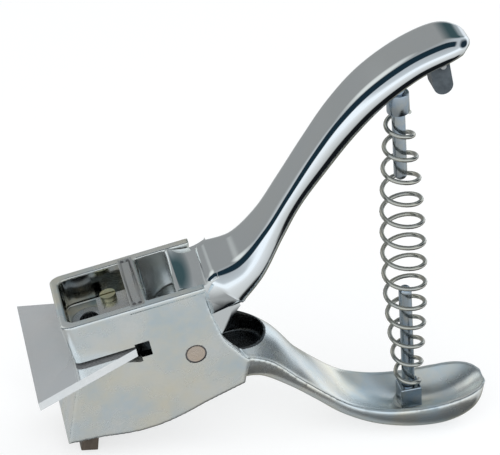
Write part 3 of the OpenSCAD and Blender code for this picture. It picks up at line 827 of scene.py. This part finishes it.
foot_rubber = rubber("foot_rubber", (0.045, 0.033, 0.025), (0.11, 0.085, 0.065), 0.55,
                     (1500.0, 1500.0, 60.0))
bumper_rubber = rubber("bumper_rubber", (0.045, 0.055, 0.065), (0.10, 0.12, 0.135), 0.45,
                       (400.0, 400.0, 400.0))
print("rubbers:", foot_rubber.name, "and", bumper_rubber.name)

# %% [markdown]
# The small parts keep their CAD shapes. Each gets its finish, and a weld and a fine bevel so that
# its edges catch the light instead of ending in a knife line. Modifiers are enough for that, and
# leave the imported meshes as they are.
# %% Dress the carried-over parts
WELD_GAP = 0.000002
# each part: its finish, and its bevel in mm
finishes = {
    "card_table": (table_plate, 0.25), "table_screws": (dark_screw, 0.12),
    "guide_block": (tool_steel, 0.3), "die_bush": (tool_steel, 0.25),
    "die_clamp": (bright_steel, 0.3), "die_clamp_screw": (yellow_screw, 0.15),
    "bridge_bar": (bar_steel, 0.2), "bridge_pins": (dark_screw, 0.08),
    "rest_foot": (foot_rubber, 0.5), "pivot_pin": (pin_copper, 0.3),
    "lower_stud": (blue_steel, 0.15), "lower_nut": (blue_steel, 0.35),
    "hub_bush": (bronze_bush, 0.2), "upper_stud": (blue_steel, 0.15),
    "upper_collar": (blue_steel, 0.3), "stop_bumper": (bumper_rubber, 0.35),
    "bumper_rivet": (rivet_steel, 0.15), "punch": (tool_steel, 0.3), "drive_pin": (rivet_steel, 0.25),
}
for name, (finish, bevel) in finishes.items():
    part = frame["nodes"][name]
    part.data.materials.clear()
    part.data.materials.append(finish)
    weld = part.modifiers.new("weld", "WELD")
    weld.merge_threshold = WELD_GAP
    round_edges(part, bevel / 1000, 2)
print(len(finishes), "CAD parts dressed")

# %% [markdown]
# The three new pieces take their own finishes. The frame's painted-shade faces already point to
# numbers 1, 2 and 3 of its list, so their shade finishes are added after the satin one, in that order.
# %% Finish the new pieces
for piece, finish, slot in ((head, cast_satin, "cast_satin"), (hub, cast_mirror, "cast_mirror"),
                            (spring, spring_wire, "spring_wire")):
    piece.data.materials.append(finish)
# painted shade for the ring (the dark screw finish), the pocket and throat, and the chip box
for finish in (dark_screw, pocket_shade, box_shade_plate):
    head.data.materials.append(finish)
print("frame body finishes:", [m.name for m in head.data.materials])

# %% [markdown]
# A plain pale floor. Most of its white is its own glow, so the shadows on it stay faint. It isn't
# seen in the chrome: the mirror would show its flat white, so glossy rays pass it and find the
# studio's own light and dark below.
# %% Floor
FLOOR_HALF = 3
FLOOR_GLOW = 0.68
corners = [(-FLOOR_HALF, -FLOOR_HALF, 0), (FLOOR_HALF, -FLOOR_HALF, 0),
           (FLOOR_HALF, FLOOR_HALF, 0), (-FLOOR_HALF, FLOOR_HALF, 0)]
floor = new_piece("floor", corners, [[0, 1, 2, 3]])
floor.visible_glossy = False
paper, _, paper_shader = new_material("floor_paper")
paper_shader.inputs["Base Color"].default_value = (0.35, 0.35, 0.35, 1)
paper_shader.inputs["Emission Color"].default_value = (1, 1, 1, 1)
paper_shader.inputs["Emission Strength"].default_value = FLOOR_GLOW
paper_shader.inputs["Roughness"].default_value = 0.9
floor.data.materials.append(paper)
print("floor is", 2 * FLOOR_HALF, "metres wide")

# %% [markdown]
# Chrome shows its surroundings, so the studio matters more than the metal. The world is painted by
# direction, so no panel has to stand in the scene. First comes height alone: grey below, bright
# just above the horizon, and grey again overhead.
# %% Studio walls
world = bpy.data.worlds.new("studio")
bpy.context.scene.world = world
world.use_nodes = True
sky = world.node_tree
backdrop = sky.nodes["Background"]
where = sky.nodes.new("ShaderNodeTexCoord").outputs["Generated"]
parts = sky.nodes.new("ShaderNodeSeparateXYZ")
feed(sky, where, parts.inputs[0])
walls = sky.nodes.new("ShaderNodeValToRGB")
feed(sky, remap(sky, parts.outputs["Z"], -1, 1), walls.inputs[0])
tones = [(0.0, 0.34, 0.35, 0.35), (0.15, 0.44, 0.45, 0.45), (0.28, 0.66, 0.68, 0.68),
         (0.45, 0.84, 0.87, 0.89), (0.56, 1.05, 1.12, 1.18), (0.68, 1.05, 1.12, 1.18),
         (0.78, 0.60, 0.65, 0.69), (1.0, 0.48, 0.51, 0.54)]
ramp = walls.color_ramp
while len(ramp.elements) < len(tones):
    ramp.elements.new(0.5)
for element, (spot, r, g, b) in zip(ramp.elements, tones):
    element.position = spot
    element.color = (r, g, b, 1)
print("walls have", len(ramp.elements), "tones by height")

# %% [markdown]
# Photographers hang black cards, called flags, beside chrome to draw its dark lines. Here they are
# patches of the world. The back is grey, with a blue-black patch and a bright one in it. A narrow
# blue-black strip runs from the left over the top, and draws the line beside the grip's crest. A
# flag high on the right blackens the grip's end, an olive-grey one lies low at the back, and two
# low on the right blacken the grip's underside.
# %% Flags
STRIP_HALF, STRIP_SOFT = 0.23, 0.07


def aimed(direction):
    """How squarely a ray points along the direction, from -1 to 1."""
    dot = sky.nodes.new("ShaderNodeVectorMath")
    dot.operation = "DOT_PRODUCT"
    dot.inputs[1].default_value = Vector(direction).normalized()
    feed(sky, where, dot.inputs[0])
    return dot.outputs["Value"]


def flag(direction, inner, outer, colour, below):
    """Mixes a soft-edged patch into the walls, round one direction."""
    cover = remap(sky, aimed(direction), math.cos(math.radians(outer)), math.cos(math.radians(inner)))
    return mix_colour(sky, cover, below, colour)


def strip(pole, middle, colour, below):
    """Mixes in a narrow band that lies square to the pole, on the middle's side only."""
    off = math_node(sky, "ABSOLUTE", aimed(pole), 0.0)
    band = remap(sky, off, STRIP_HALF + STRIP_SOFT, STRIP_HALF)
    side = remap(sky, aimed(middle), 0.1, 0.25)
    return mix_colour(sky, math_node(sky, "MULTIPLY", band, side), below, colour)


lit = flag((-0.35, 0.9, 0.3), 30, 58, (0.33, 0.34, 0.34, 1), walls.outputs["Color"])
lit = flag((0.34, 0.78, 0.52), 9, 22, (0.05, 0.09, 0.10, 1), lit)
lit = flag((-0.62, 0.62, 0.48), 8, 20, (0.85, 0.88, 0.86, 1), lit)
lit = strip((0.12, 1, -0.04), (-0.8, 0, 0.6), (0.012, 0.03, 0.045, 1), lit)
lit = flag((0.90, 0.12, 0.36), 16, 30, (0.015, 0.03, 0.045, 1), lit)
lit = flag((0.42, 0.62, -0.66), 14, 30, (0.16, 0.16, 0.12, 1), lit)
for direction in ((0.40, -0.42, -0.81), (0.55, -0.12, -0.82)):
    lit = flag(direction, 20, 25, (0.008, 0.010, 0.012, 1), lit)
feed(sky, lit, backdrop.inputs["Color"])
backdrop.inputs["Strength"].default_value = 1.0
print("the studio has", len(sky.nodes), "nodes")

# %% [markdown]
# Most of the light comes from the walls. Two weak round lamps add the soft shadow on the floor: one
# in front on the left, and one behind on the right. They are kept out of the reflections, because a
# round white spot in the chrome would show.
# %% Lamps
LAMP_SIZE = 1.2
LAMP_AIM = Vector((0, 0, 0.04))


def soft_lamp(name, spot, power):
    data = bpy.data.lights.new(name, "AREA")
    data.shape = "DISK"
    data.size = LAMP_SIZE
    data.energy = power
    lamp = bpy.data.objects.new(name, data)
    bpy.context.scene.collection.objects.link(lamp)
    lamp.location = spot
    lamp.rotation_euler = (LAMP_AIM - Vector(spot)).to_track_quat("-Z", "Y").to_euler()
    lamp.visible_glossy = False
    print(name, "gives", power, "watts")


soft_lamp("key lamp", (-0.35, -0.5, 0.9), 7.0)
soft_lamp("fill lamp", (0.7, 0.3, 0.8), 4.0)

# %% [markdown]
# The camera looks from the front left, a little over thirty degrees down, through a long lens. Its
# direction was worked out for a head tipped twelve degrees. The head tips a little more than that,
# so the camera is turned about the pivot by the difference, and sees the head in the same way.
# %% Camera
AZIMUTH, ELEVATION = math.radians(12), math.radians(32)
DRAWN_PITCH = math.radians(12)
AIM_FROM_PIVOT = Vector((0.0177, 0, 0.0302))
VIEW_DISTANCE = 0.6
SENSOR_WIDTH = 36
LENS = 159.84
tilt = Matrix.Rotation(DRAWN_PITCH - head_pitch, 3, "Y")
toward = tilt @ Vector((-math.sin(AZIMUTH) * math.cos(ELEVATION),
                        -math.cos(AZIMUTH) * math.cos(ELEVATION), math.sin(ELEVATION)))
right = tilt @ Vector((math.cos(AZIMUTH), -math.sin(AZIMUTH), 0))
above = toward.cross(right).normalized()
aim = pivot + tilt @ AIM_FROM_PIVOT
camera_data = bpy.data.cameras.new("camera")
camera_data.sensor_width = SENSOR_WIDTH
camera_data.lens = LENS
camera = bpy.data.objects.new("camera", camera_data)
bpy.context.scene.collection.objects.link(camera)
turn = Matrix((right, above, toward)).transposed()
camera.matrix_world = Matrix.Translation(aim + toward * VIEW_DISTANCE) @ turn.to_4x4()
bpy.context.scene.camera = camera
bpy.context.scene.view_settings.view_transform = "Standard"
print("camera at", [round(1000 * v) for v in camera.location])
